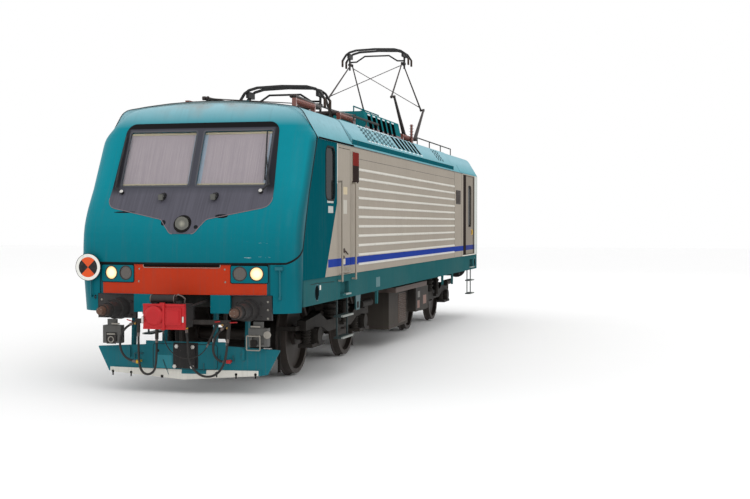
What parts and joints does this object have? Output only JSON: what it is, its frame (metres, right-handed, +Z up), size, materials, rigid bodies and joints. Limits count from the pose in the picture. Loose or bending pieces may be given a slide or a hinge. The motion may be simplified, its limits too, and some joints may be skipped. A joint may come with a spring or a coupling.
{
  "type": "electric locomotive",
  "caption": "Single-cab electric locomotive on two bogies, diamond pantographs on the roof, gangway at the rear, front buffers and covered coupler.",
  "frame": {"origin": "middle of the body between the buffer ends, on the centreline, at the lowest point of the wheel flanges (the track mount)", "axes": "+Y along the locomotive towards the gangway end, the cab faces -Y; +X to the side seen in the picture; +Z up"},
  "size_m": [3.154, 15.8391, 5.8436],
  "materials": {
    "teal_paint": "satin, weathered",
    "side_paint": "satin, dusty",
    "under_paint": "matt, dusty",
    "shell": "gloss",
    "orange_panel": "satin",
    "mask": "matt, streaked",
    "clear": "clear",
    "lamp_glass": "bright",
    "black_steel": "matt",
    "dark_iron": "matt",
    "red_cover": "satin",
    "grey_metal": "matt",
    "rail_steel": "satin",
    "wheel_steel": "dusty",
    "blind": "matt",
    "inside": "matt",
    "signal": "satin",
    "insulator": "glazed",
    "rubber_black": "matt",
    "panto_steel": "matt"
  },
  "bodies": {
    "locomotive": {"underframe": "under_paint", "side_wall_left": "side_paint", "side_wall_right": "side_paint", "roof": "teal_paint", "cab_shell": "shell", "front_skirt": "teal_paint", "nose_panel": "orange_panel", "screen_mask": "mask", "glazing": "clear", "cross_walls": "inside", "machinery_block": "inside", "cab_fittings": "inside", "sunblinds": "blind", "lamps": "lamp_glass", "front_buffers": "black_steel", "rear_buffers": "black_steel", "auto_coupler": "black_steel", "coupler_cover": "red_cover", "rear_coupling": "dark_iron", "plough": "under_paint", "end_fittings": "grey_metal", "handrails": "rail_steel", "steps": "grey_metal", "wipers": "black_steel", "signal_disc": "signal", "gangway_bellows": "rubber_black", "underfloor_gear": "black_steel", "roof_gear": "teal_paint", "roof_insulators": "insulator", "pantograph_bases": "panto_steel", "hose_left_brake": "rubber_black", "hose_left_main": "rubber_black", "hose_right_main": "rubber_black", "hose_right_brake": "rubber_black", "coupler_cable": "rubber_black"},
    "bogie_front": {"bogie_frame_front": "dark_iron", "running_gear_front": "dark_iron"},
    "wheelset_1": {"wheelset_1": "wheel_steel"},
    "wheelset_2": {"wheelset_2": "wheel_steel"},
    "bogie_rear": {"bogie_frame_rear": "dark_iron", "running_gear_rear": "dark_iron"},
    "wheelset_3": {"wheelset_3": "wheel_steel"},
    "wheelset_4": {"wheelset_4": "wheel_steel"},
    "cab_door_left": {"cab_door_left": "side_paint"},
    "rear_door_left": {"rear_door_left": "side_paint", "rear_glass_left": "clear"},
    "cab_door_right": {"cab_door_right": "side_paint"},
    "rear_door_right": {"rear_door_right": "side_paint", "rear_glass_right": "clear"},
    "gangway_door": {"gangway_door": "inside"},
    "front_lower_a": {"front_lower_a": "panto_steel"},
    "front_lower_b": {"front_lower_b": "panto_steel"},
    "front_upper_a": {"front_upper_a": "panto_steel"},
    "front_upper_b": {"front_upper_b": "panto_steel"},
    "front_head": {"front_head": "panto_steel"},
    "rear_lower_a": {"rear_lower_a": "panto_steel"},
    "rear_lower_b": {"rear_lower_b": "panto_steel"},
    "rear_upper_a": {"rear_upper_a": "panto_steel"},
    "rear_upper_b": {"rear_upper_b": "panto_steel"},
    "rear_head": {"rear_head": "panto_steel"}
  },
  "joints": [
    {"name": "bogie_front_turn", "type": "hinge", "parent": "locomotive", "child": "bogie_front", "pos_m": [0, -3.77, 0.648], "axis": [0, 0, 1], "range_deg": [-3.5, 3.5]},
    {"name": "wheelset_1_spin", "type": "hinge", "parent": "bogie_front", "child": "wheelset_1", "pos_m": [0, -5.095, 0.578], "axis": [1, 0, 0], "continuous": true},
    {"name": "wheelset_2_spin", "type": "hinge", "parent": "bogie_front", "child": "wheelset_2", "pos_m": [0, -2.445, 0.578], "axis": [1, 0, 0], "continuous": true},
    {"name": "bogie_rear_turn", "type": "hinge", "parent": "locomotive", "child": "bogie_rear", "pos_m": [0, 3.77, 0.648], "axis": [0, 0, 1], "range_deg": [-3.5, 3.5]},
    {"name": "wheelset_3_spin", "type": "hinge", "parent": "bogie_rear", "child": "wheelset_3", "pos_m": [0, 2.445, 0.578], "axis": [1, 0, 0], "continuous": true},
    {"name": "wheelset_4_spin", "type": "hinge", "parent": "bogie_rear", "child": "wheelset_4", "pos_m": [0, 5.095, 0.578], "axis": [1, 0, 0], "continuous": true},
    {"name": "cab_door_left_swing", "type": "hinge", "parent": "locomotive", "child": "cab_door_left", "pos_m": [1.421, -5.305, 2.348], "axis": [0, 0, 1], "range_deg": [0, 85]},
    {"name": "rear_door_left_swing", "type": "hinge", "parent": "locomotive", "child": "rear_door_left", "pos_m": [1.415, 6.645, 2.348], "axis": [0, 0, -1], "range_deg": [0, 85]},
    {"name": "cab_door_right_swing", "type": "hinge", "parent": "locomotive", "child": "cab_door_right", "pos_m": [-1.421, -5.305, 2.348], "axis": [0, 0, -1], "range_deg": [0, 85]},
    {"name": "rear_door_right_swing", "type": "hinge", "parent": "locomotive", "child": "rear_door_right", "pos_m": [-1.415, 6.645, 2.348], "axis": [0, 0, 1], "range_deg": [0, 85]},
    {"name": "gangway_door_swing", "type": "hinge", "parent": "locomotive", "child": "gangway_door", "pos_m": [-0.4, 7.07, 2.408], "axis": [0, 0, -1], "range_deg": [0, 85]},
    {"name": "front_pantograph_raise", "type": "hinge", "parent": "locomotive", "child": "front_lower_a", "pos_m": [0, -3.64, 3.973], "axis": [-1, 0, 0], "range_deg": [0, 34.56]},
    {"name": "front_lower_b_turn", "type": "hinge", "parent": "locomotive", "child": "front_lower_b", "pos_m": [0, -2.6, 3.973], "axis": [1, 0, 0], "range_deg": [0, 34.56]},
    {"name": "front_upper_a_turn", "type": "hinge", "parent": "front_lower_a", "child": "front_upper_a", "pos_m": [0, -4.80581, 4.02594], "axis": [1, 0, 0], "range_deg": [0, 64.82]},
    {"name": "front_upper_b_turn", "type": "hinge", "parent": "front_lower_b", "child": "front_upper_b", "pos_m": [0, -1.43419, 4.02594], "axis": [-1, 0, 0], "range_deg": [0, 64.82]},
    {"name": "front_head_turn", "type": "hinge", "parent": "front_upper_a", "child": "front_head", "pos_m": [0, -3.18, 4.05432], "axis": [-1, 0, 0], "range_deg": [0, 30.26]},
    {"name": "rear_pantograph_raise", "type": "hinge", "parent": "locomotive", "child": "rear_lower_a", "pos_m": [0, 2.6, 3.973], "axis": [-1, 0, 0], "range_deg": [-34.56, 0]},
    {"name": "rear_lower_b_turn", "type": "hinge", "parent": "locomotive", "child": "rear_lower_b", "pos_m": [0, 3.64, 3.973], "axis": [1, 0, 0], "range_deg": [-34.56, 0]},
    {"name": "rear_upper_a_turn", "type": "hinge", "parent": "rear_lower_a", "child": "rear_upper_a", "pos_m": [0, 1.67, 4.678], "axis": [1, 0, 0], "range_deg": [-64.82, 0]},
    {"name": "rear_upper_b_turn", "type": "hinge", "parent": "rear_lower_b", "child": "rear_upper_b", "pos_m": [0, 4.57, 4.678], "axis": [-1, 0, 0], "range_deg": [-64.82, 0]},
    {"name": "rear_head_turn", "type": "hinge", "parent": "rear_upper_a", "child": "rear_head", "pos_m": [0, 3.06, 5.52179], "axis": [-1, 0, 0], "range_deg": [-30.26, 0]}
  ],
  "couplings": [
    {"joint": "front_lower_b_turn", "follows": "front_pantograph_raise", "ratio": 1},
    {"joint": "front_upper_a_turn", "follows": "front_pantograph_raise", "ratio": 1.8755},
    {"joint": "front_upper_b_turn", "follows": "front_pantograph_raise", "ratio": 1.8755},
    {"joint": "front_head_turn", "follows": "front_pantograph_raise", "ratio": 0.87545},
    {"joint": "rear_lower_b_turn", "follows": "rear_pantograph_raise", "ratio": 1},
    {"joint": "rear_upper_a_turn", "follows": "rear_pantograph_raise", "ratio": 1.8755},
    {"joint": "rear_upper_b_turn", "follows": "rear_pantograph_raise", "ratio": 1.8755},
    {"joint": "rear_head_turn", "follows": "rear_pantograph_raise", "ratio": 0.87545}
  ]
}
